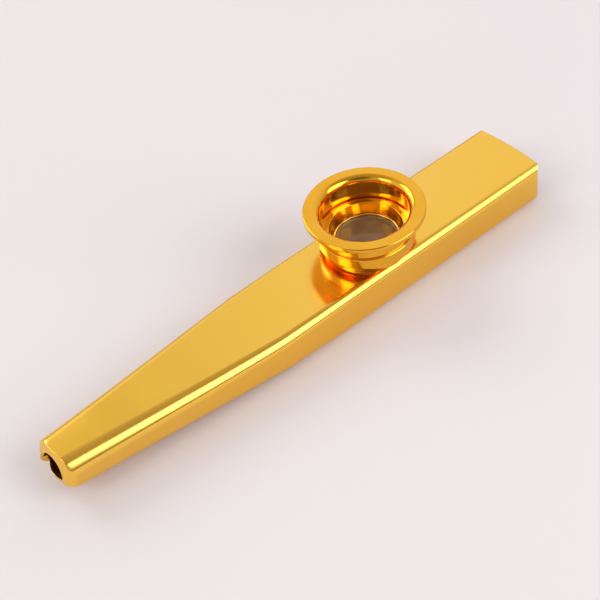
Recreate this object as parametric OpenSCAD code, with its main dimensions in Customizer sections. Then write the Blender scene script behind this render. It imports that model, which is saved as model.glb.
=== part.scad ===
// Kazoo with a formed metal tube body and a flared screw cap over a thin film.
// Millimetres. X runs from the mouth end to the wide end, +Z is up.
// The origin is under the middle of the whole kazoo, on the plane it lies on.

/* [Body tube] */
// Length over all, mouth to wide end
body_length = 124; // [110:0.4:140]
// Width of the straight part
body_width = 19; // [17.6:0.2:24]
// Height of the straight part
body_height = 9.6; // [8.4:0.2:13]
// Length of the straight part, from the wide end
straight_length = 58; // [54:0.2:60]
// How far the width stays the same past the straight part
width_lead = 14.8; // [8:0.4:18]
// Thickness of the sheet
sheet = 1.1; // [0.8:0.1:1.3]
// Outer corner radius of the straight part
corner_r = 1.8; // [1.5:0.1:2.4]
// Width at the mouth
mouth_width = 11; // [10.4:0.2:14]
// Height at the mouth
mouth_height = 7.6; // [7.2:0.1:9]
// How far the top rises towards the mouth
mouth_rise = 1.2; // [0.8:0.1:1.6]
// Radius of the two upper corners at the mouth
mouth_top_r = 3.5; // [2.8:0.1:3.6]
// Radius of the two lower corners at the mouth
mouth_low_r = 2.2; // [1.8:0.1:2.6]
// Radius of the wide end's arc, seen from above
wide_arc_r = 70; // [40:2:90]
// Radius of the wide end's two upright corners
wide_round_r = 2.2; // [1.6:0.1:2.8]
// Radius of the wide end's rounded heel, seen from the side
heel_r = 3; // [2:0.1:3.4]
// Radius of the wide end's rounded top edge
wide_top_r = 0.7; // [0.4:0.1:1]

/* [Mouth end] */
// How far the end's face leans out from its top edge to the middle of the nose
nose_reach = 2; // [1.6:0.1:2.4]
// Radius of the nose, seen from the side, which rounds into the underside
nose_r = 2.4; // [2:0.1:2.8]
// Radius of the end, seen from above
end_arc_r = 20; // [14:1:30]
// Radius of the end's two upright corners
end_round_r = 3.8; // [3.2:0.1:4]
// Depth of the sheet that is turned in at the end, behind the top edge
turned_in = 1.1; // [0.9:0.1:1.6]
// Radius of the arched mouth hole
mouth_hole_r = 3.9; // [3.4:0.1:4.1]
// Depth of the hole's top under the mouth's top
mouth_hole_drop = 1.4; // [1.3:0.1:1.8]
// Radius of the wider arch that is cut in over the lower lip
relief_r = 4.3; // [4.1:0.1:4.8]
// Depth of that arch's top under the mouth's top
relief_drop = 2.3; // [2.1:0.1:2.6]
// How far the lower lip is set back from the nose
lip_setback = 0.8; // [0.6:0.1:1.4]
// Radius of the lower lip, seen from above
lip_r = 6.6; // [6:0.2:8]

/* [Collar] */
// Centre of the turret, from the wide end
turret_inset = 43; // [39:0.2:44.6]
// Wall of the spigot that sits in the body
spigot_wall = 1.2; // [0.8:0.1:1.5]
// Length of the spigot under the body's sheet
spigot_tail = 0.9; // [0.6:0.1:1.2]
// How far the swaged lip under the sheet stands out
swage_w = 0.5; // [0.3:0.1:0.6]
// How far the bottom of the collar's thread stands in from the body's sides
collar_setback = 0.65; // [0.6:0.05:0.8]
// Height of the thread's ridge
thread_depth = 0.35; // [0.25:0.05:0.4]
// Rise of the thread in one turn
thread_pitch = 0.6; // [0.55:0.05:0.7]
// Height of the collar over the body's top
collar_height = 3; // [2.9:0.1:3.2]
// Wall of the collar from its upper bore to the bottom of its thread
collar_wall = 0.85; // [0.75:0.05:0.9]
// Width of the film's seat, from the upper bore to the sound hole
seat_w = 1.6; // [1.4:0.1:2.4]
// Height of the film's seat over the body's top
seat_height = 1; // [0.8:0.1:1.1]

/* [Film] */
// Thickness of the sealing washer
washer_t = 0.3; // [0.2:0.05:0.4]
// Thickness of the film
film_t = 0.08; // [0.05:0.01:0.12]
// Thickness of the ring that carries the film
film_ring_t = 0.5; // [0.4:0.05:0.6]
// Width of the ring that carries the film
film_ring_w = 1.2; // [0.95:0.05:1.5]

/* [Pressing ring] */
// Width of the pressing ring's foot
press_foot_w = 0.95; // [0.65:0.05:1.15]
// Wall of the pressing ring at its top
press_top_w = 0.4; // [0.3:0.05:0.6]
// How far the neck on which the cap turns stands out past the collar's bore
press_step = 0.2; // [0.1:0.05:0.3]
// How far the ring's rim and its bead stand out
press_rim_w = 0.6; // [0.4:0.05:0.7]
// Thickness of the rim and the bead
press_rim_t = 0.3; // [0.25:0.05:0.35]

/* [Screw cap] */
// Height of the cap's top over the body's top
cap_top = 9.8; // [9.4:0.2:12]
// How far the flared brim stands out from the bore
brim_w = 3.5; // [2.8:0.1:4.6]
// Thickness of the brim at its edge
brim_t = 1.1; // [0.9:0.1:1.3]
// Radius of the rounding where the brim meets the bore
lip_round_r = 1.5; // [1.1:0.1:1.7]
// How far the cap's bore stands in from the bottom of its thread
bore_step = 0.1; // [0.05:0.05:0.15]
// Wall of the waist at its thinnest
waist_wall = 0.6; // [0.5:0.05:0.8]
// Wall of the grip band
band_wall = 1.05; // [0.95:0.05:1.5]
// Height of the grip band
band_height = 2.7; // [2.4:0.1:2.9]
// Height of the band's lower edge over the body's top
band_bottom = 1.9; // [1.8:0.1:2.1]
// Thickness of the shoulder that the ring is held in
shoulder_t = 0.6; // [0.5:0.05:0.7]

/* [Fits] */
// Gap round the spigot and under the collar's skirt
seat_gap = 0.02; // [0.01:0.01:0.03]
// Gap round the loose rings in the collar
ring_gap = 0.15; // [0.1:0.01:0.2]
// Gap between the pressing ring and what it presses on
press_gap = 0.03; // [0.02:0.01:0.05]
// Gap round the ring's neck, on which the cap turns
turn_gap = 0.06; // [0.03:0.01:0.1]
// Gap between the tips and roots of the two threads
thread_gap = 0.15; // [0.12:0.01:0.18]

/* [Hidden] */
gold = [0.93, 0.69, 0.2];
pale_gold = [0.97, 0.78, 0.35];
paper_white = [0.9, 0.88, 0.82];
clear_film = [0.6, 0.5, 0.45, 0.5];

// Extra length of every cut, and the sink of joined pieces into each other
overrun = 0.5;
bite = 0.12;

// Facets of the turned pieces, of the tapered tube and of the threads
$fn = 96;
corner_steps = 8;
taper_steps = 14;
thread_steps = 40;

// How much of the nose's tip the mouth's cuts take away, as a share of its radius
nose_cut_share = 0.203;

// Places along X; the nose is where its tip was before those cuts
nose_x = -body_length / 2 - nose_cut_share * nose_r;
wide_x = body_length / 2;
taper_x = wide_x - straight_length;
turret_x = wide_x - turret_inset;
taper_length = taper_x - nose_x;
top_z = body_height;

// How much of the width's taper is even, and how much eases in and out
even_share = 0.85;

// How far back the nose and the corners take the tube's size, as a share of their radius
lead_share = 1.6;

// Depth of the middle of the wide end's top rounding, as a share of its radius
top_round_share = 0.93;

// The top and the underside at the mouth
mouth_top_z = top_z + mouth_rise;
mouth_low_z = mouth_top_z - mouth_height;

// Middle of the round nose, slant of the face over it, and the face's top edge
nose_centre_x = nose_x + nose_r;
nose_z = mouth_low_z * (1 - lead_share * nose_r / taper_length) + nose_r;
nose_drop = mouth_top_z - nose_z;
slant = atan2(nose_reach, nose_drop);
face_x = nose_centre_x + nose_drop * tan(slant) - nose_r / cos(slant);
past_end = overrun + nose_r;

// Levels in the turret
seat_z = top_z + seat_height;
film_z = seat_z + washer_t;
film_ring_z = film_z + film_t;
press_foot_z = film_ring_z + film_ring_t + press_gap;
collar_top_z = top_z + collar_height;
bead_z = collar_top_z + press_gap;
shoulder_z = bead_z + press_rim_t + press_gap;
shoulder_top_z = shoulder_z + shoulder_t;
rim_z = shoulder_top_z + press_gap;
rim_top_z = rim_z + press_rim_t;
cap_top_z = top_z + cap_top;
band_z = top_z + band_bottom;
band_top_z = band_z + band_height;

// Radii in the collar, from the body's side inwards
thread_root_r = body_width / 2 - collar_setback;
thread_crest_r = thread_root_r + thread_depth;
collar_bore_r = thread_root_r - collar_wall;
sound_hole_r = collar_bore_r - seat_w;
spigot_r = sound_hole_r + spigot_wall;

// Radii of the loose rings
loose_ring_r = collar_bore_r - ring_gap;
film_ring_bore_r = loose_ring_r - film_ring_w;
press_foot_r = loose_ring_r - press_foot_w;
press_neck_r = collar_bore_r + press_step;
press_top_r = press_neck_r - press_top_w;

// Radii in the cap, from its thread outwards
cap_thread_root_r = thread_crest_r + thread_gap;
cap_bore_r = cap_thread_root_r - bore_step;
waist_r = cap_bore_r + waist_wall;
band_r = cap_bore_r + band_wall;
brim_r = cap_bore_r + brim_w;

// Thread ridges: width at the foot and at the tip, as shares of the pitch
ridge_foot_share = 0.62;
ridge_tip_share = 0.2;
// Where the collar's ridge starts over the body's top, and ends under the collar's edge
thread_start = 0.5;
thread_runout = 0.2;

// Small roundings of the band and the brim
band_round_r = 0.35;
brim_round_r = 0.25;
skirt_drop = 0.6;
swage_t = 0.4;

// How far a smooth step from 0 to 1 has come at u
function ease(u) = u * u * (3 - 2 * u);

// How far along the taper a distance d from the straight part is
function even(d) = d / taper_length;

// How far the width has come at that distance
function narrowed(d) =
  let (u = max(d - width_lead, 0) / (taper_length - width_lead))
  even_share * u + (1 - even_share) * ease(u);

function blend(a, b, u) = a + (b - a) * u;

// Points of one corner of radius r, centred at x and z, that starts at angle a
function corner(x, z, r, a) = [
  for (i = [0:corner_steps])
    let (b = a + 90 * i / corner_steps)
    [x + r * cos(b), z + r * sin(b)]
];

// Outline across the tube: half width w, from low to high, its upper and lower corners
function section(w, low, high, top_r, low_r) = concat(
  corner(w - top_r, high - top_r, top_r, 0),
  corner(top_r - w, high - top_r, top_r, 90),
  corner(low_r - w, low + low_r, low_r, 180),
  corner(w - low_r, low + low_r, low_r, 270)
);

// The same outline at a distance d past the straight part, t inside the tube's face
function tube_section(d, t) =
  let (e = max(min(d, taper_length), 0))
  section(
    blend(body_width, mouth_width, narrowed(e)) / 2 - t,
    blend(0, mouth_low_z, even(e)) + t,
    blend(top_z, mouth_top_z, pow(even(e), 2)) - t,
    max(blend(corner_r, mouth_top_r, even(e)) - t, sheet / 2),
    max(blend(corner_r, mouth_low_r, even(e)) - t, sheet / 2)
  );

// A solid through outlines that stand across X at the given places
module loft(places, outlines) {
  n = len(outlines[0]);
  rows = len(places);
  points = [for (i = [0:rows - 1]) for (p = outlines[i]) [places[i], p[0], p[1]]];
  sides = [
    for (i = [0:rows - 2]) for (j = [0:n - 1])
      let (k = (j + 1) % n)
      each [[i * n + j, i * n + k, (i + 1) * n + k], [i * n + j, (i + 1) * n + k, (i + 1) * n + j]]
  ];
  first = [for (j = [n - 1:-1:0]) j];
  last = [for (j = [0:n - 1]) (rows - 1) * n + j];
  polyhedron(points, concat(sides, [first, last]));
}

// The whole tube, t inside its face, and running past both ends by the given length
module tube_bar(t, past) {
  steps = [
    -straight_length - past,
    for (i = [0:taper_steps]) taper_length * i / taper_steps,
    taper_length + past
  ];
  loft([for (d = steps) taper_x - d], [for (d = steps) tube_section(d, t)]);
}

// A bar across the YZ plane with true round corners, from x1 to x2
module round_bar(x1, x2, w, low, high, r) {
  translate([x1, 0, 0])
    rotate([90, 0, 90])
      linear_extrude(x2 - x1)
        union() {
          translate([-w, low + r])
            square([2 * w, high - low - 2 * r]);
          translate([r - w, low])
            square([2 * (w - r), high - low]);
          for (side = [-1, 1], z = [low + r, high - r])
            translate([side * (w - r), z])
              circle(r);
        }
}

// What is cut away in front of the end: outside an arc with a slanted face over a round nose
module front_cut() {
  difference() {
    translate([nose_x - past_end, -body_width, -overrun])
      cube([past_end + end_arc_r, 2 * body_width, mouth_top_z + 2 * overrun]);
    translate([nose_x + end_arc_r, 0, 0])
      rotate_extrude() {
        polygon([
          [0, -2 * overrun],
          [end_arc_r - nose_r, -2 * overrun],
          [end_arc_r - nose_r, nose_z],
          [end_arc_r - nose_r + nose_r * cos(slant), nose_z + nose_r * sin(slant)],
          [nose_x + end_arc_r - face_x, mouth_top_z],
          [nose_x + end_arc_r - face_x - 3 * overrun * tan(slant), mouth_top_z + 3 * overrun],
          [0, mouth_top_z + 3 * overrun]
        ]);
        translate([end_arc_r - nose_r, nose_z])
          circle(nose_r);
      }
  }
}

// Roundings of the end's two corners: they lean back half as far as its face, and are
// rounded into the underside as the nose is
module corner_cuts() {
  edge_d = taper_length - lead_share * end_round_r;
  edge_y = blend(body_width, mouth_width, narrowed(edge_d)) / 2;
  reach = end_round_r + overrun;
  translate([nose_x + end_round_r, 0, nose_z])
    rotate([0, slant / 2, 0])
      for (side = [-1, 1])
        translate([0, side * (edge_y - end_round_r), 0])
          difference() {
            translate([-reach, side > 0 ? 0 : -reach, -body_height])
              cube([reach, reach, 2 * body_height]);
            rotate_extrude() {
              square([end_round_r, body_height + overrun]);
              translate([0, -body_height - overrun])
                square([end_round_r - nose_r, 2 * body_height]);
              intersection() {
                translate([end_round_r - nose_r, 0])
                  circle(nose_r);
                translate([0, -nose_r])
                  square([end_round_r, 2 * nose_r]);
              }
            }
          }
}

// An arch along X, its top at the given depth under the mouth's top
module arch(x1, x2, r, drop) {
  translate([x1, 0, mouth_top_z - drop - r])
    rotate([0, 90, 0])
      cylinder(r = r, h = x2 - x1);
}

// The sheet turned in at the end, round the arched mouth hole
module end_rim() {
  rim_x = face_x + turned_in;
  difference() {
    translate([nose_x - overrun, -body_width / 2, 0])
      cube([rim_x - nose_x + overrun, body_width, mouth_top_z]);
    arch(nose_x - 2 * overrun, rim_x + overrun, mouth_hole_r, mouth_hole_drop);
  }
}

// What is cut away over the lower lip: a wide arch in front of the lip's arc
module lip_cut() {
  lip_x = nose_x + lip_setback;
  difference() {
    arch(nose_x - overrun, nose_x + lip_r, relief_r, relief_drop);
    translate([lip_x + lip_r, 0, -relief_r])
      cylinder(r = lip_r, h = mouth_top_z + relief_r);
  }
}

// What is cut away at the wide end: outside its arc, with a round heel and top edge
module wide_cut() {
  difference() {
    translate([wide_x - body_width / 2, -body_width, -overrun])
      cube([body_width, 2 * body_width, top_z + 2 * overrun]);
    translate([wide_x - wide_arc_r, 0, 0])
      rotate_extrude() {
        square([wide_arc_r - heel_r, top_z + 2 * overrun]);
        translate([0, heel_r])
          square([wide_arc_r - wide_top_r, top_z]);
        translate([0, heel_r])
          square([wide_arc_r, top_z - heel_r - top_round_share * wide_top_r]);
        translate([wide_arc_r - heel_r, heel_r])
          circle(heel_r);
        translate([wide_arc_r - wide_top_r, top_z - top_round_share * wide_top_r])
          circle(wide_top_r);
      }
  }
}

// Roundings of the wide end's two upright corners
module wide_corner_cuts() {
  edge_y = body_width / 2 - wide_round_r;
  reach = wide_round_r + overrun;
  setback = wide_arc_r - sqrt(pow(wide_arc_r, 2) - pow(edge_y, 2));
  for (side = [-1, 1])
    translate([wide_x - setback - wide_round_r, side * edge_y, -overrun])
      difference() {
        translate([0, side > 0 ? 0 : -reach, 0])
          cube([reach + setback, reach, top_z + 2 * overrun]);
        translate([0, 0, -overrun])
          cylinder(r = wide_round_r, h = top_z + 4 * overrun);
      }
}

module body_tube() {
  color(gold)
    difference() {
      tube_bar(0, overrun);
      difference() {
        tube_bar(sheet, 2 * overrun);
        end_rim();
      }
      translate([turret_x, 0, top_z - 2 * sheet])
        cylinder(r = spigot_r + seat_gap, h = 3 * sheet);
      front_cut();
      corner_cuts();
      lip_cut();
      wide_cut();
      wide_corner_cuts();
    }
}

// A spiral ridge: it winds up the axis from z_low to z_high, from radius foot_r to tip_r
module ridge(foot_r, tip_r, z_low, z_high, start_z) {
  foot = thread_pitch * ridge_foot_share / 2;
  tip = thread_pitch * ridge_tip_share / 2;
  sink = foot_r < tip_r ? -bite : bite;
  a_low = 360 * (z_low + foot - start_z) / thread_pitch;
  a_high = 360 * (z_high - foot - start_z) / thread_pitch;
  steps = ceil((a_high - a_low) * thread_steps / 360);
  profile = [[foot_r + sink, -foot], [tip_r, -tip], [tip_r, tip], [foot_r + sink, foot]];
  n = len(profile);
  points = [
    for (i = [0:steps])
      let (a = a_low + (a_high - a_low) * i / steps)
      for (p = profile) [p[0] * cos(a), p[0] * sin(a), start_z + thread_pitch * a / 360 + p[1]]
  ];
  sides = [
    for (i = [0:steps - 1]) for (j = [0:n - 1])
      let (k = (j + 1) % n)
      each [[i * n + j, i * n + k, (i + 1) * n + k], [i * n + j, (i + 1) * n + k, (i + 1) * n + j]]
  ];
  ends = [[for (j = [n - 1:-1:0]) j], [for (j = [0:n - 1]) steps * n + j]];
  faces = concat(sides, ends);
  inward = foot_r > tip_r;
  polyhedron(points, inward ? [for (f = faces) [for (i = [len(f) - 1:-1:0]) f[i]]] : faces);
}

module collar() {
  color(gold)
    translate([turret_x, 0, 0]) {
      difference() {
        translate([0, 0, top_z - skirt_drop])
          cylinder(r = thread_root_r, h = collar_height + skirt_drop);
        translate([-turret_x, 0, 0])
          round_bar(
            turret_x - body_width, turret_x + body_width, body_width / 2 + seat_gap,
            -seat_gap, top_z + seat_gap, corner_r + seat_gap
          );
        translate([0, 0, seat_z])
          cylinder(r = collar_bore_r, h = collar_height + overrun);
        translate([0, 0, -overrun])
          cylinder(r = sound_hole_r, h = cap_top_z);
      }
      // Spigot through the sheet, swaged out under it
      rotate_extrude()
        polygon([
          [sound_hole_r, top_z - sheet - spigot_tail],
          [spigot_r, top_z - sheet - spigot_tail],
          [spigot_r + swage_w, top_z - sheet - seat_gap - swage_t],
          [spigot_r + swage_w, top_z - sheet - seat_gap],
          [spigot_r, top_z - sheet - seat_gap],
          [spigot_r, top_z + seat_gap + bite],
          [sound_hole_r, top_z + seat_gap + bite]
        ]);
      ridge(thread_root_r, thread_crest_r, top_z + thread_start, collar_top_z - thread_runout, top_z);
    }
}

// A flat ring on the turret's axis
module flat_ring(r_in, r_out, z, t) {
  translate([turret_x, 0, z])
    difference() {
      cylinder(r = r_out, h = t);
      translate([0, 0, -overrun])
        cylinder(r = r_in, h = t + 2 * overrun);
    }
}

module seal_washer() {
  color(paper_white)
    flat_ring(sound_hole_r, loose_ring_r, seat_z, washer_t);
}

module film() {
  color(clear_film)
    translate([turret_x, 0, film_z])
      cylinder(r = loose_ring_r, h = film_t);
}

module film_ring() {
  color(pale_gold)
    flat_ring(film_ring_bore_r, loose_ring_r, film_ring_z, film_ring_t);
}

// Eyelet that the cap carries: its foot presses on the film's ring
module press_ring() {
  color(gold)
    translate([turret_x, 0, 0])
      rotate_extrude()
        polygon([
          [press_foot_r, press_foot_z],
          [loose_ring_r, press_foot_z],
          [loose_ring_r, bead_z],
          [press_neck_r + press_rim_w / 2, bead_z],
          [press_neck_r + press_rim_w / 2, bead_z + press_rim_t],
          [press_neck_r, bead_z + press_rim_t],
          [press_neck_r, rim_z],
          [press_neck_r + press_rim_w, rim_z],
          [press_neck_r + press_rim_w, rim_top_z],
          [press_top_r, rim_top_z]
        ]);
}

// Half of the cap's outline: outside from the band up, then the bore down
module cap_profile() {
  waist_z = band_top_z + band_round_r;
  brim_z = cap_top_z - brim_t;
  flare_r = brim_r - brim_round_r - waist_r;
  difference() {
    union() {
      // Grip band with rounded edges
      translate([cap_bore_r, band_z])
        square([band_r - band_round_r - cap_bore_r, band_height]);
      translate([cap_bore_r, band_z + band_round_r])
        square([band_r - cap_bore_r, band_height - 2 * band_round_r]);
      for (z = [band_z + band_round_r, band_top_z - band_round_r])
        translate([band_r - band_round_r, z])
          circle(band_round_r);
      // Waist, and the flare that sweeps out to the brim
      translate([cap_bore_r, band_top_z - bite])
        square([waist_wall, brim_z - band_top_z + 2 * bite]);
      difference() {
        translate([waist_r - bite, brim_z - flare_r])
          square([flare_r + bite, flare_r + bite]);
        translate([waist_r + flare_r, brim_z - flare_r])
          circle(flare_r);
      }
      // Brim
      translate([cap_bore_r, brim_z])
        square([brim_r - brim_round_r - cap_bore_r, brim_t]);
      translate([cap_bore_r, brim_z + brim_round_r])
        square([brim_r - cap_bore_r, brim_t - 2 * brim_round_r]);
      for (z = [brim_z + brim_round_r, cap_top_z - brim_round_r])
        translate([brim_r - brim_round_r, z])
          circle(brim_round_r);
      // Shoulder for the pressing ring
      translate([press_neck_r + turn_gap, shoulder_z])
        square([cap_bore_r - press_neck_r - turn_gap + bite, shoulder_t]);
    }
    // Rounding of the mouth of the bore
    difference() {
      translate([cap_bore_r - overrun, cap_top_z - lip_round_r])
        square([lip_round_r + overrun, lip_round_r + overrun]);
      translate([cap_bore_r + lip_round_r, cap_top_z - lip_round_r])
        circle(lip_round_r);
    }
    // Root of the inner thread
    translate([cap_bore_r - overrun, band_z - overrun])
      square([cap_thread_root_r - cap_bore_r + overrun, shoulder_z - band_z + overrun]);
  }
}

module cap() {
  color(gold)
    translate([turret_x, 0, 0]) {
      rotate_extrude()
        cap_profile();
      ridge(
        cap_thread_root_r, cap_thread_root_r - thread_depth, band_z + seat_gap, collar_top_z - seat_gap,
        top_z + thread_pitch / 2
      );
    }
}

body_tube();
collar();
seal_washer();
film();
film_ring();
press_ring();
cap();
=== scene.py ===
import math

import bmesh
import bpy
from mathutils import Matrix, Vector


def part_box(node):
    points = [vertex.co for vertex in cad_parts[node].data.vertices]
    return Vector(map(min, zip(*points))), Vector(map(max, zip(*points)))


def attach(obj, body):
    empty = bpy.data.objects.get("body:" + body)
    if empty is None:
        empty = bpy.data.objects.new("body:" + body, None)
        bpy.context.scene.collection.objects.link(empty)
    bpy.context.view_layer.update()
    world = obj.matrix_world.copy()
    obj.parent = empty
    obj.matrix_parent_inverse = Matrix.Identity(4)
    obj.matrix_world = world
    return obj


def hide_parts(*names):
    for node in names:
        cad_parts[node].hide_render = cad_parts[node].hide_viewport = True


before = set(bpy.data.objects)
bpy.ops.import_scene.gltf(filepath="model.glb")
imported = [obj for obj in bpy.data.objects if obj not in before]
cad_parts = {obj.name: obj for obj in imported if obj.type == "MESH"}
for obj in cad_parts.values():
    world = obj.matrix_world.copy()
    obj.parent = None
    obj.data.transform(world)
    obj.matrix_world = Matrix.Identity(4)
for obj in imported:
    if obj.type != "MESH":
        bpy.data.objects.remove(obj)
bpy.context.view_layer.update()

MM = 0.001
TOUCH = 0.001 * MM

# ---------------------------------------------------------------- sizes, in millimetres

low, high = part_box("body_tube")
FRONT_X, WIDE_X, HALF_W, TOP = low.x / MM, high.x / MM, high.y / MM, 9.6
low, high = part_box("cap")
TURRET_X = (low.x + high.x) / 2 / MM
SHEET = 1.1
CORNER = 1.8
SEAT_R = 7.62
SOFT_EDGE = 0.09

# The wide end: the arc it ends in, its heel, its top edge and its two upright corners
STRAIGHT = 58.0
WIDE_ARC_R, HEEL_R, WIDE_TOP_R, WIDE_CORNER_R = 70.0, 3.0, 0.7, 2.2
TOP_ROUND_SHARE = 0.93

# The mouth end: the nose is where its tip was before the mouth was cut out
NOSE_R, NOSE_REACH, END_R, END_CORNER = 2.4, 2.0, 20.0, 3.8
NOSE_CUT_SHARE = 0.203
NOSE_X = FRONT_X - NOSE_CUT_SHARE * NOSE_R
MOUTH_HALF_W, MOUTH_HEIGHT, MOUTH_RISE = 5.5, 7.6, 1.2
MOUTH_TOP = TOP + MOUTH_RISE
MOUTH_LOW = MOUTH_TOP - MOUTH_HEIGHT
MOUTH_TOP_R, MOUTH_LOW_R = 3.5, 2.2
RIM_DEPTH = 1.1
HOLE_R, HOLE_DROP = 3.9, 1.4
RELIEF_R, RELIEF_DROP = 4.3, 2.3
LIP_R, LIP_SETBACK = 6.6, 0.8

# The taper: its width runs mostly straight, and eases in over the lead
TAPER_X = WIDE_X - STRAIGHT
TAPER = TAPER_X - NOSE_X
WIDTH_LEAD = 14.8
EVEN_SHARE, EASED_SHARE = 0.85, 0.15
LEAD = 1.6

# The nose's middle, and the slant of the end's face over it
NOSE_Z = MOUTH_LOW * (1 - LEAD * NOSE_R / TAPER) + NOSE_R
NOSE_DROP = MOUTH_TOP - NOSE_Z
SLANT = math.atan2(NOSE_REACH, NOSE_DROP)
FACE_X = NOSE_X + NOSE_R + NOSE_DROP * math.tan(SLANT) - NOSE_R / math.cos(SLANT)

# The turret: the film's stack from the collar's ledge up, and the fine thread
STACK_R, BORE_R = 7.85, 6.4
LEDGE_Z, FILM_Z, HOOP_Z, HOOP_TOP = 10.6, 10.9, 10.98, 11.48
THREAD_PITCH = 0.6
COLLAR_R, CAP_THREAD_R = 8.85, 9.35

# How far cutters reach past what they cut: a little, right past the tube, and to its sides
PAST, OVER, ASIDE = 0.5, 3.0, 12.0


# ---------------------------------------------------------------- modelling by hand

def named(name):
    """The piece just added, under its own name."""
    piece = bpy.context.active_object
    piece.name = piece.data.name = name
    return piece


def pick(piece):
    bpy.ops.object.select_all(action="DESELECT")
    piece.select_set(True)
    bpy.context.view_layer.objects.active = piece


def blank(name):
    """An empty piece in edit mode, ready for its first primitive."""
    bpy.ops.object.select_all(action="DESELECT")
    bpy.ops.mesh.primitive_plane_add(size=MM)
    piece = named(name)
    bpy.ops.object.mode_set(mode="EDIT")
    bpy.ops.mesh.select_all(action="SELECT")
    bpy.ops.mesh.delete(type="VERT")
    return piece


def all_picked():
    bpy.ops.mesh.select_all(action="SELECT")


def close_up():
    """Merges what lies together and turns the faces outwards."""
    all_picked()
    bpy.ops.mesh.remove_doubles(threshold=TOUCH)
    all_picked()
    bpy.ops.mesh.normals_make_consistent(inside=False)
    bpy.ops.object.mode_set(mode="OBJECT")


def finish_modifier(piece, modifier):
    pick(piece)
    bpy.ops.object.modifier_apply(modifier=modifier.name)


def combine(piece, tool, operation="DIFFERENCE"):
    m = piece.modifiers.new(operation.lower(), "BOOLEAN")
    m.operation = operation
    m.solver = "EXACT"
    m.object = tool
    finish_modifier(piece, m)
    bpy.data.objects.remove(tool)
    return piece


def draw_line(points):
    """Draws a closed line, point after point, from a single vertex."""
    bpy.ops.mesh.primitive_plane_add(size=MM, location=points[0])
    bpy.ops.mesh.merge(type="CENTER")
    for a, b in zip(points, points[1:] + points[:1]):
        bpy.ops.mesh.extrude_region_move(TRANSFORM_OT_translate={"value": b - a})
    all_picked()
    bpy.ops.mesh.remove_doubles(threshold=TOUCH)
    all_picked()


def rounded(corners):
    """Points of an outline whose corners are given as (radius, height, rounding).

    A larger rounding gets more points.
    """
    points = []
    n = len(corners)
    for i, (x, z, r) in enumerate(corners):
        p = Vector((x, z))
        if r == 0:
            points.append(p)
            continue
        a = (Vector(corners[i - 1][:2]) - p).normalized()
        b = (Vector(corners[(i + 1) % n][:2]) - p).normalized()
        half = a.angle(b) / 2
        middle = p + (a + b).normalized() * r / math.sin(half)
        start = p + a * r / math.tan(half) - middle
        end = p + b * r / math.tan(half) - middle
        turn = start.angle_signed(end)
        steps = 3 + round(5 * r)
        for k in range(steps + 1):
            t = turn * k / steps
            points.append(middle + Matrix.Rotation(-t, 2) @ start)
    return points


def turned(name, corners, steps=160):
    """A piece spun round the turret's axis from its corners, as rounded takes them."""
    piece = blank(name)
    draw_line([Vector((TURRET_X + p.x, 0, p.y)) * MM for p in rounded(corners)])
    bpy.ops.mesh.spin(
        steps=steps, angle=2 * math.pi, center=(TURRET_X * MM, 0, 0), axis=(0, 0, 1))
    close_up()
    return piece


def block(name, low, high):
    bpy.ops.object.select_all(action="DESELECT")
    low, high = Vector(low) * MM, Vector(high) * MM
    bpy.ops.mesh.primitive_cube_add(size=1, location=(low + high) / 2, scale=high - low)
    bpy.ops.object.transform_apply()
    return named(name)


def rod(name, radius, start, end, sides=256):
    bpy.ops.object.select_all(action="DESELECT")
    start, end = Vector(start) * MM, Vector(end) * MM
    bpy.ops.mesh.primitive_cylinder_add(
        vertices=sides, radius=radius * MM, depth=(end - start).length,
        location=(start + end) / 2,
        rotation=(end - start).to_track_quat("Z", "Y").to_euler())
    bpy.ops.object.transform_apply()
    return named(name)


def soften(piece, width, degrees=30, segments=3):
    """Takes the sharpness off the edges, as tumbling and anodising do."""
    m = piece.modifiers.new("edges", "BEVEL")
    m.width = width * MM
    m.segments = segments
    m.limit_method = "ANGLE"
    m.angle_limit = math.radians(degrees)
    m.use_clamp_overlap = False
    m.harden_normals = False
    finish_modifier(piece, m)


def shade(piece, degrees=35):
    pick(piece)
    bpy.ops.object.shade_smooth_by_angle(angle=math.radians(degrees))
    m = piece.modifiers.new("normals", "WEIGHTED_NORMAL")
    m.mode = "FACE_AREA"
    m.weight = 50
    m.keep_sharp = True
    finish_modifier(piece, m)


# ---------------------------------------------------------------- the tube

def direction(azimuth, elevation):
    a, e = math.radians(azimuth), math.radians(elevation)
    return Vector((math.cos(e) * math.cos(a), math.cos(e) * math.sin(a), math.sin(e)))


def blend(a, b, u):
    return a + (b - a) * u


def ease(u):
    return u * u * (3 - 2 * u)


def narrowed(d):
    u = max(d - WIDTH_LEAD, 0) / (TAPER - WIDTH_LEAD)
    return EVEN_SHARE * u + EASED_SHARE * ease(u)


def half_width(x):
    return blend(HALF_W, MOUTH_HALF_W, narrowed(min(max(TAPER_X - x, 0), TAPER)))


def pick_points(piece, wanted):
    """Picks the points of a piece in edit mode by their place."""
    mesh = bmesh.from_edit_mesh(piece.data)
    for point in mesh.verts:
        point.select = wanted(point.co)
    mesh.select_flush_mode()
    bmesh.update_edit_mesh(piece.data)


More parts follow.
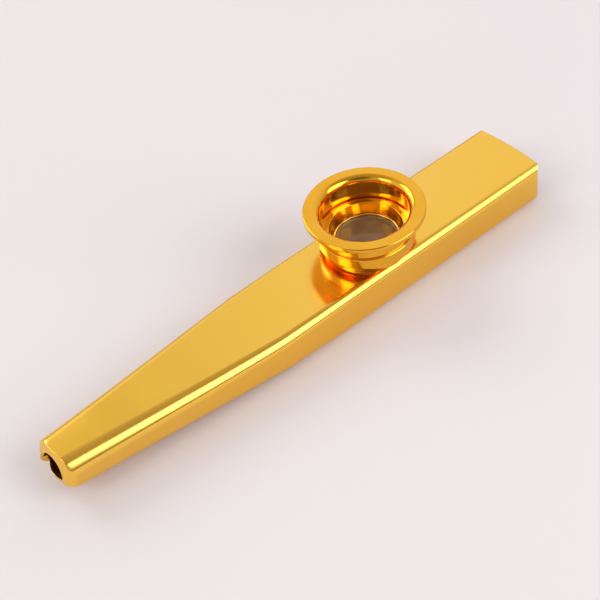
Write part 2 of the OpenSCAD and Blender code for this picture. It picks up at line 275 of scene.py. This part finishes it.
def add_outline(piece, x, inset, cuts):
    """A plate across the tube, with its upper and then its lower corners rounded."""
    u = min(max(TAPER_X - x, 0), TAPER) / TAPER
    half_w = half_width(x) - inset
    bottom = blend(0, MOUTH_LOW, u) + inset
    top = blend(TOP, MOUTH_TOP, u ** 2) - inset
    up_r = max(blend(CORNER, MOUTH_TOP_R, u) - inset, SHEET / 2)
    low_r = max(blend(CORNER, MOUTH_LOW_R, u) - inset, SHEET / 2)
    middle = Vector((x, 0, (bottom + top) / 2)) * MM
    bpy.ops.mesh.select_all(action="DESELECT")
    bpy.ops.mesh.primitive_plane_add(
        size=MM, location=middle, rotation=(0, math.pi / 2, 0))
    bpy.ops.transform.resize(value=(1, 2 * half_w, top - bottom), center_override=middle)
    for r, upper in ((up_r, True), (low_r, False)):
        pick_points(
            piece, lambda p: abs(p.x - middle.x) < TOUCH and (p.z > middle.z) == upper)
        bpy.ops.mesh.bevel(offset=r * MM, segments=cuts, affect="VERTICES")


def tube_solid(name, inset, past, cuts=14, rings=48):
    """The tube's form without its end cuts, set in from the outside by inset."""
    piece = blank(name)
    near_taper = TAPER_X + 6
    places = [WIDE_X + past, near_taper, TAPER_X]
    places += [TAPER_X - TAPER * (i + 1) / rings for i in range(rings)]
    places += [NOSE_X - past]
    for x in places:
        add_outline(piece, x, inset, cuts)
    all_picked()
    bpy.ops.mesh.delete(type="ONLY_FACE")
    all_picked()
    bpy.ops.mesh.bridge_edge_loops()
    all_picked()
    bpy.ops.mesh.fill_holes(sides=0)
    close_up()
    return piece


def arch(radius, drop, x1, x2):
    """A lying rod whose top is drop under the mouth's top, from x1 to x2."""
    z = MOUTH_TOP - drop - radius
    return rod("arch", radius, (x1, 0, z), (x2, 0, z))


def spun(name, points, middle_x, start=0.0, angle=360.0, steps=96):
    """A solid spun round an upright axis at middle_x, from (radius, height) points."""
    piece = blank(name)
    ray = direction(start, 0)
    draw_line([(ray * p.x + Vector((middle_x, 0, p.y))) * MM for p in points])
    if angle < 360:
        bpy.ops.mesh.edge_face_add()
    bpy.ops.mesh.spin(
        steps=steps, angle=math.radians(angle), center=(middle_x * MM, 0, 0), axis=(0, 0, 1))
    close_up()
    return piece


def quarter(mid_x, mid_z, r, start, end, steps=24):
    return [Vector((mid_x, mid_z)) + r * Vector((math.cos(a), math.sin(a)))
            for a in (math.radians(blend(start, end, i / steps)) for i in range(steps + 1))]


def nose_body():
    """What stays at the mouth end: an arc seen from above, slanted over a round nose."""
    nose_mid = END_R - NOSE_R
    face = NOSE_X + END_R - FACE_X
    over_top = MOUTH_TOP + OVER
    points = [Vector((0, -OVER)), Vector((nose_mid, -OVER))]
    points += quarter(nose_mid, NOSE_Z, NOSE_R, -90, math.degrees(SLANT))
    points += [Vector((face - OVER * math.tan(SLANT), over_top)), Vector((0, over_top))]
    body = spun("nose", points, NOSE_X + END_R, start=225, angle=90, steps=120)
    inside, reach = 8, OVER - 0.1
    rest = block("rest", (NOSE_X + inside, -ASIDE, -reach),
                 (WIDE_X + 5, ASIDE, MOUTH_TOP + reach))
    return combine(body, rest, "UNION")


def cut_mouth_corners(tube):
    """Rounds the end's two corners, which lean back half as far as its face."""
    r = END_CORNER
    edge = half_width(NOSE_X + LEAD * r)
    tall, taller = 9, 10
    for side in (-1, 1):
        reach = side * (r + PAST)
        corner = block("corner", (-r - PAST, min(0, reach), -tall),
                       (0, max(0, reach), tall))
        points = [Vector((0, -taller)), Vector((r - NOSE_R, -taller))]
        points += quarter(r - NOSE_R, 0, NOSE_R, -90, 0)
        points += [Vector((r, taller)), Vector((0, taller))]
        combine(corner, spun("round", points, 0, steps=128))
        pick(corner)
        bpy.ops.transform.rotate(
            value=-SLANT / 2, orient_axis="Y", orient_type="GLOBAL", center_override=(0, 0, 0))
        bpy.ops.transform.translate(
            value=Vector((NOSE_X + r, side * (edge - r), NOSE_Z)) * MM)
        bpy.ops.object.transform_apply()
        combine(tube, corner)


def wide_end_disc():
    """What stays at the wide end: an arc, rounded at its heel and at its top edge."""
    r, heel, top_r = WIDE_ARC_R, HEEL_R, WIDE_TOP_R
    top_mid = TOP - TOP_ROUND_SHARE * top_r
    points = [Vector((0, 0)), Vector((r - heel, 0))]
    points += quarter(r - heel, heel, heel, -90, 0)
    points += quarter(r - top_r, top_mid, top_r, 0, 90, steps=8)
    points += [Vector((r - top_r, TOP + OVER)), Vector((0, TOP + OVER))]
    disc = spun("disc", points, WIDE_X - r, start=12, angle=24, steps=96)
    inside, reach = 6, OVER - 0.1
    rest = block("rest", (NOSE_X - OVER, -ASIDE, -OVER),
                 (WIDE_X - inside, ASIDE, TOP + reach))
    return combine(disc, rest, "UNION")


def cut_wide_corners(tube):
    """Rounds the wide end's two upright corners."""
    r = WIDE_CORNER_R
    edge = HALF_W - r
    setback = WIDE_ARC_R - math.sqrt(WIDE_ARC_R ** 2 - edge ** 2)
    back = WIDE_X - setback - r
    for side in (-1, 1):
        y, reach = side * edge, side * (r + PAST)
        corner = block("corner", (back, y + min(0, reach), -1),
                       (back + r + 2, y + max(0, reach), TOP + 1))
        combine(corner, rod("round", r, (back, y, -2), (back, y, TOP + 2)))
        combine(tube, corner)


def lay_flat(tube):
    """Brings the points that the soft edges pushed under the underside back onto it."""
    pick(tube)
    bpy.ops.object.mode_set(mode="EDIT")
    pick_points(tube, lambda p: p.z < 0)
    bpy.ops.transform.resize(value=(1, 1, 0), center_override=(0, 0, 0))
    bpy.ops.object.mode_set(mode="OBJECT")


def model_tube():
    tube = tube_solid("tube", 0, PAST)
    hollow = tube_solid("hollow", SHEET, 2 * PAST)
    rim_x = FACE_X + RIM_DEPTH
    rim = block("rim", (NOSE_X - OVER, -HALF_W, 0), (rim_x, HALF_W, MOUTH_TOP))
    combine(rim, arch(HOLE_R, HOLE_DROP, NOSE_X - OVER - 1, rim_x + 1))
    combine(hollow, rim)
    combine(tube, hollow)
    seat = rod("seat", SEAT_R, (TURRET_X, 0, TOP - OVER), (TURRET_X, 0, TOP + OVER))
    combine(tube, seat)
    combine(tube, nose_body(), "INTERSECT")
    cut_mouth_corners(tube)
    lip_x = NOSE_X + LIP_SETBACK + LIP_R
    lip = arch(RELIEF_R, RELIEF_DROP, NOSE_X - 1, lip_x)
    combine(lip, rod("lip", LIP_R, (lip_x, 0, -ASIDE), (lip_x, 0, MOUTH_TOP)))
    combine(tube, lip)
    combine(tube, wide_end_disc(), "INTERSECT")
    cut_wide_corners(tube)
    soften(tube, SOFT_EDGE)
    lay_flat(tube)
    shade(tube, 30)
    return tube


# ---------------------------------------------------------------- the turret

def thread(name, foot, tip, z_low, z_high, start_z, sunk=0.12, steps=96):
    """A closed spiral ridge from one radius, foot, to another, tip, sunk in its wall.

    start_z is a height at which the spiral passes over +X.
    """
    piece = blank(name)
    foot_share, tip_share = 0.62, 0.2
    wide, narrow = foot_share * THREAD_PITCH / 2, tip_share * THREAD_PITCH / 2
    sink = -sunk if foot < tip else sunk
    turn = (z_low + wide - start_z) / THREAD_PITCH
    turns = (z_high - z_low - 2 * wide) / THREAD_PITCH
    z = z_low + wide
    outline = [(foot + sink, -wide), (tip, -narrow), (tip, narrow), (foot + sink, wide)]
    draw_line([Vector((r, 0, h)) * MM for r, h in outline])
    bpy.ops.mesh.edge_face_add()
    bpy.ops.object.mode_set(mode="OBJECT")
    m = piece.modifiers.new("spiral", "SCREW")
    m.axis = "Z"
    m.angle = 2 * math.pi * turns
    m.screw_offset = THREAD_PITCH * turns * MM
    m.steps = m.render_steps = round(steps * turns)
    m.use_merge_vertices = False
    finish_modifier(piece, m)
    bpy.ops.object.mode_set(mode="EDIT")
    all_picked()
    bpy.ops.mesh.fill_holes(sides=0)
    close_up()
    pick(piece)
    bpy.ops.transform.rotate(
        value=-2 * math.pi * turn, orient_axis="Z", orient_type="GLOBAL",
        center_override=(0, 0, 0))
    bpy.ops.transform.translate(value=Vector((TURRET_X, 0, z)) * MM)
    bpy.ops.object.transform_apply()
    return piece


def add_to(piece, other):
    pick(piece)
    other.select_set(True)
    bpy.ops.object.join()
    return piece


def model_collar():
    collar = turned("collar_ring", [
        (BORE_R, 7.6, 0.08), (7.6, 7.6, 0.1), (8.1, 8.08, 0.08), (8.1, 8.48, 0.08),
        (7.6, 8.48, 0), (7.6, 9.0, 0), (COLLAR_R, 9.0, 0.05), (COLLAR_R, 12.6, 0.12),
        (8.0, 12.6, 0.12), (8.0, LEDGE_Z, 0), (BORE_R, LEDGE_Z, 0.1)])
    seat_gap, slab_top = 0.02, 8.55
    skin = tube_solid("skin", -seat_gap, PAST, rings=8)
    slab = block("slab", (TURRET_X - ASIDE, -ASIDE, -1),
                 (TURRET_X + ASIDE, ASIDE, slab_top))
    combine(skin, slab)
    combine(collar, skin)
    shade(collar)
    ridge = thread("ridge", COLLAR_R, 9.2, TOP + 0.5, 12.4, TOP)
    shade(ridge)
    return add_to(collar, ridge)


def model_cap():
    cap = turned("cap_flare", [
        (CAP_THREAD_R, 11.5, 0.08), (CAP_THREAD_R, 12.96, 0), (8.26, 12.96, 0.06),
        (8.26, 13.56, 0.06), (9.25, 13.56, 0.05), (9.25, 19.4, 1.5), (12.75, 19.4, 0.25),
        (12.75, 18.3, 0.25), (9.85, 18.3, 2.65), (9.85, 14.2, 0.06), (10.3, 14.2, 0.35),
        (10.3, 11.5, 0.35)])
    shade(cap)
    half_a_turn = THREAD_PITCH / 2
    ridge = thread("cap_ridge", CAP_THREAD_R, 9.0, 11.52, 12.58, TOP + half_a_turn)
    shade(ridge)
    return add_to(cap, ridge)


def model_press_ring():
    ring = turned("eyelet", [
        (6.9, 11.51, 0.1), (STACK_R, 11.51, 0.06), (STACK_R, 12.63, 0), (8.5, 12.63, 0.08),
        (8.5, 12.93, 0.08), (8.2, 12.93, 0), (8.2, 13.59, 0), (8.8, 13.59, 0.08),
        (8.8, 13.89, 0.12), (7.8, 13.89, 0.14)])
    shade(ring)
    return ring


def model_film_ring():
    ring = turned("hoop", [
        (6.65, HOOP_Z, 0.05), (STACK_R, HOOP_Z, 0.05), (STACK_R, HOOP_TOP, 0.12),
        (6.65, HOOP_TOP, 0.12)])
    shade(ring)
    return ring


def model_film():
    film = turned("film_disc", [
        (0, FILM_Z, 0), (STACK_R, FILM_Z, 0), (STACK_R, HOOP_Z, 0), (0, HOOP_Z, 0)])
    shade(film)
    return film


def model_washer():
    washer = turned("washer", [
        (BORE_R, LEDGE_Z, 0.03), (STACK_R, LEDGE_Z, 0.03), (STACK_R, FILM_Z, 0.08),
        (BORE_R, FILM_Z, 0.08)])
    shade(washer)
    return washer


# ---------------------------------------------------------------- shader maths

class Value:
    """A node's socket that takes part in Python sums."""

    def __init__(self, finish, socket):
        self.finish, self.socket = finish, socket

    def sum(self, operation, *values):
        return self.finish.node("ShaderNodeMath", {"operation": operation}, *values)

    def __add__(self, other):
        return self.sum("ADD", self, other)

    __radd__ = __add__

    def __sub__(self, other):
        return self.sum("SUBTRACT", self, other)

    def __rsub__(self, other):
        return self.sum("SUBTRACT", other, self)

    def __mul__(self, other):
        return self.sum("MULTIPLY", self, other)

    __rmul__ = __mul__


class Finish:
    """The nodes of one material, or of the world."""

    def __init__(self, tree):
        self.tree = tree
        tree.nodes.clear()

    def node(self, kind, settings=None, *values, out=0, **sockets):
        n = self.tree.nodes.new(kind)
        for key, value in (settings or {}).items():
            setattr(n, key, value)
        pairs = list(enumerate(values)) + list(sockets.items())
        for key, value in pairs:
            if isinstance(key, str):
                key = key.replace("_", " ")
            if isinstance(value, Value):
                self.tree.links.new(value.socket, n.inputs[key])
            else:
                target = n.inputs[key]
                if hasattr(target.default_value, "__len__") and len(target.default_value) == 4:
                    value = (*value[:3], 1)
                target.default_value = value
        return Value(self, n.outputs[out])

    def step(self, value, start, end, low=0.0, high=1.0):
        """Smoothly from low to high while the value goes from start to end."""
        return self.node("ShaderNodeMapRange", {"interpolation_type": "SMOOTHSTEP"},
                         value, start, end, low, high)

    def mix(self, factor, a, b):
        """From colour a to colour b, which are a Mix node's inputs 6 and 7."""
        n = self.tree.nodes.new("ShaderNodeMix")
        n.data_type = "RGBA"
        for i, value in ((0, factor), (6, a), (7, b)):
            if isinstance(value, Value):
                self.tree.links.new(value.socket, n.inputs[i])
            elif i:
                n.inputs[i].default_value = (*value, 1)
            else:
                n.inputs[i].default_value = value
        return Value(self, n.outputs[2])

    def place(self, scale=(1, 1, 1), location=(0, 0, 0)):
        """Where on the piece, in the object's own metres."""
        here = self.node("ShaderNodeTexCoord", out="Object")
        return self.node("ShaderNodeMapping", None, here, Location=location, Scale=scale)

    def noise(self, where, scale, detail=3.0, roughness=0.5):
        return self.node("ShaderNodeTexNoise", None, Vector=where, Scale=scale,
                         Detail=detail, Roughness=roughness)

    def bump(self, height, distance, strength=1.0):
        return self.node("ShaderNodeBump", None, Height=height, Distance=distance,
                         Strength=strength)

    def surface(self, **sockets):
        self.end_in("ShaderNodeOutputMaterial",
                    self.node("ShaderNodeBsdfPrincipled", None, **sockets))

    def end_in(self, kind, shader):
        out = self.tree.nodes.new(kind)
        self.tree.links.new(shader.socket, out.inputs["Surface"])


def material(name):
    m = bpy.data.materials.new(name)
    m.use_nodes = True
    return m, Finish(m.node_tree)


def centred(f):
    """Where on a turned piece, measured from the turret's axis."""
    return f.place(location=(-TURRET_X * MM, 0, 0))


def gold_sheet():
    """Gold anodised tube: polished, with faint drawing lines along it and soft smudges."""
    m, f = material("gold_sheet")
    light, deep = (0.95, 0.575, 0.095), (0.94, 0.555, 0.08)
    smudge = f.noise(f.place(), scale=70)
    drawn = f.noise(f.place((0.04, 1, 1)), scale=1500)
    grain = f.noise(f.place(), scale=2600, detail=2)
    tint = f.noise(f.place((0.4, 1, 1)), scale=40, detail=2)
    f.surface(
        Base_Color=f.mix(f.step(tint, 0.35, 0.65), light, deep),
        Metallic=1.0,
        Roughness=0.15 + 0.05 * f.step(smudge, 0.45, 0.75) + 0.03 * grain,
        Normal=f.bump(0.6 * drawn + 0.4 * grain, distance=0.000012, strength=0.5))
    return m


def gold_turned(name, light, deep):
    """Gold anodised turned part, light and deep in places, with the lathe's fine rings."""
    m, f = material(name)
    here = centred(f)
    level = f.node("ShaderNodeVectorMath", {"operation": "MULTIPLY"}, here, (1, 1, 0))
    across = f.node("ShaderNodeVectorMath", {"operation": "LENGTH"}, level, out="Value")
    up = f.node("ShaderNodeSeparateXYZ", None, here, out="Z")
    rings_per_metre, on_walls = 9000, 0.8
    rings = f.node("ShaderNodeTexNoise", {"noise_dimensions": "1D"},
                   W=(across + on_walls * up) * rings_per_metre, Scale=1.0, Detail=2.0)
    smudge = f.noise(here, scale=160)
    f.surface(
        Base_Color=f.mix(f.step(smudge, 0.35, 0.7), light, deep),
        Metallic=1.0,
        Roughness=0.06 + 0.06 * f.step(smudge, 0.4, 0.75) + 0.03 * rings,
        Normal=f.bump(rings, distance=0.00001, strength=0.35))
    return m


def smoky_film_with_painted_reflection():
    """Clear, slightly smoky film, drawn tight with faint waves. Its warm brown colour, deeper
    and lighter with the waves, is a painted reflection of the gold cup around and under it.
    """
    m, f = material("smoky_film_with_painted_reflection")
    # painted reflection: the warm brown of these two colours stands in for the gold cup seen
    # in and through the film
    deep, light = (0.34, 0.18, 0.09), (0.46, 0.28, 0.14)
    here = centred(f)
    waves = f.noise(here, scale=260, detail=2)
    fine = f.noise(here, scale=1500, detail=2)
    f.surface(
        Base_Color=f.mix(f.step(waves, 0.3, 0.7), deep, light),
        Roughness=0.08 + 0.06 * fine,
        Alpha=0.42 + 0.14 * waves,
        IOR=1.5,
        Normal=f.bump(waves, distance=0.0004, strength=0.4))
    return m


def fibre():
    """Pressed paper fibre of the sealing washer."""
    m, f = material("fibre")
    pale, stained = (0.80, 0.76, 0.66), (0.70, 0.65, 0.54)
    here = centred(f)
    threads = f.noise(here, scale=2600, detail=4, roughness=0.7)
    blot = f.noise(here, scale=300)
    f.surface(
        Base_Color=f.mix(f.step(blot, 0.35, 0.65), pale, stained),
        Roughness=0.75 + 0.15 * threads,
        Normal=f.bump(threads, distance=0.00003, strength=0.6))
    return m


def floor_finish():
    """Pale, faintly pink-grey matt board."""
    m, f = material("floor_finish")
    shade_of_board, light_of_board = (0.785, 0.735, 0.785), (0.805, 0.755, 0.80)
    cloud = f.noise(f.place(), scale=6, detail=2)
    tooth = f.noise(f.place(), scale=2500, detail=2)
    f.surface(
        Base_Color=f.mix(f.step(cloud, 0.3, 0.7), shade_of_board, light_of_board),
        Roughness=0.7 + 0.1 * tooth,
        Normal=f.bump(tooth, distance=0.00002, strength=0.3))
    return m


# ---------------------------------------------------------------- pieces on their bodies

def dress(piece, node, body, finish):
    """Puts a piece in its node's place, on its body, in its finish."""
    piece.data.materials.clear()
    piece.data.materials.append(finish)
    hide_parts(node)
    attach(piece, body)


sheet_gold = gold_sheet()
turned_gold = gold_turned("gold_turned", light=(0.90, 0.46, 0.04), deep=(0.87, 0.42, 0.03))
pale_gold = gold_turned("pale_gold", light=(0.93, 0.66, 0.20), deep=(0.90, 0.61, 0.16))

dress(model_tube(), "body_tube", "tube", sheet_gold)
dress(model_collar(), "collar", "tube", turned_gold)
dress(model_washer(), "seal_washer", "tube", fibre())
dress(model_film(), "film", "tube", smoky_film_with_painted_reflection())
dress(model_film_ring(), "film_ring", "tube", pale_gold)
dress(model_press_ring(), "press_ring", "lifter", turned_gold)
dress(model_cap(), "cap", "cap", turned_gold)


# ---------------------------------------------------------------- floor, light and camera

def lay_floor():
    bpy.ops.object.select_all(action="DESELECT")
    metres_wide = 4
    bpy.ops.mesh.primitive_plane_add(size=metres_wide)
    floor = bpy.context.active_object
    floor.name = "floor"
    floor.data.materials.append(floor_finish())


def softbox(name, azimuth, elevation, size, radiance, distance=1.2):
    """A lamp panel turned to the object, size wide and high in metres.

    Its radiance is how bright its face looks.
    """
    light = bpy.data.lights.new(name, "AREA")
    light.shape = "RECTANGLE"
    light.size, light.size_y = size
    light.energy = radiance * math.pi * size[0] * size[1]
    lamp = bpy.data.objects.new(name, light)
    bpy.context.collection.objects.link(lamp)
    d = direction(azimuth, elevation)
    lamp.location = d * distance
    lamp.rotation_euler = d.to_track_quat("Z", "Y").to_euler()


def light_room():
    """A pale room, brighter at the back, dimmer low down, overhead and round the camera."""
    world = bpy.data.worlds.new("room")
    bpy.context.scene.world = world
    world.use_nodes = True
    f = Finish(world.node_tree)
    d = f.node("ShaderNodeTexCoord", out="Generated")

    def along(axis):
        return f.node("ShaderNodeVectorMath", {"operation": "DOT_PRODUCT"}, d, tuple(axis),
                      out="Value")

    up = along((0, 0, 1))
    behind = f.step(along(direction(75, 0)), -0.8, 0.8)
    far_corner = f.step(along(direction(95, 50)), 0.885, 0.95)
    near_camera = f.step(along(direction(-124, 47)), 0.90, 0.975)
    near_floor = f.step(up, 0.28, 0.12)
    overhead = f.step(up, 0.80, 0.91)

    wall = 0.56 + 0.42 * behind
    skirting = 1 - 0.6 * near_floor
    ceiling = 1 - 0.36 * overhead
    camera_side = 1 - 0.65 * near_camera

    warm, cool = (1.0, 0.985, 0.98), (0.98, 0.985, 1.0)
    corner_tone, ceiling_tone = (0.72, 0.68, 0.42), (1.0, 0.88, 0.70)
    tone = f.mix(f.step(up, 0.0, 0.9), warm, cool)
    tone = f.mix(far_corner, tone, corner_tone)
    tone = f.mix(overhead, tone, ceiling_tone)
    f.end_in("ShaderNodeOutputWorld", f.node(
        "ShaderNodeBackground", None, Color=tone,
        Strength=wall * skirting * ceiling * camera_side))


def set_camera(lens, place, ahead, right):
    """A camera at place, in mm, that looks ahead, with right to the picture's right."""
    data = bpy.data.cameras.new("camera")
    data.sensor_width = 36
    data.lens = lens
    data.clip_start, data.clip_end = 0.01, 10
    camera = bpy.data.objects.new("camera", data)
    bpy.context.collection.objects.link(camera)
    ahead = Vector(ahead).normalized()
    right = Vector(right)
    right = (right - right.dot(ahead) * ahead).normalized()
    above = right.cross(ahead)
    turn = Matrix((right, above, -ahead)).transposed()
    camera.matrix_world = Matrix.Translation(Vector(place) * MM) @ turn.to_4x4()
    bpy.context.scene.camera = camera


lay_floor()
light_room()
softbox("front_right_lamp", azimuth=-63, elevation=33, size=(0.80, 0.90), radiance=3.4)
softbox("back_left_lamp", azimuth=98, elevation=38, size=(0.6, 0.6), radiance=3.0)
softbox("left_lamp", azimuth=172, elevation=38, size=(0.45, 0.45), radiance=3.0)
set_camera(lens=87.0, place=(-117.97, -174.81, 217.57),
           ahead=(0.39505, 0.58569, -0.70774), right=(0.75949, -0.64165, -0.10707))
bpy.context.scene.view_settings.view_transform = "Standard"
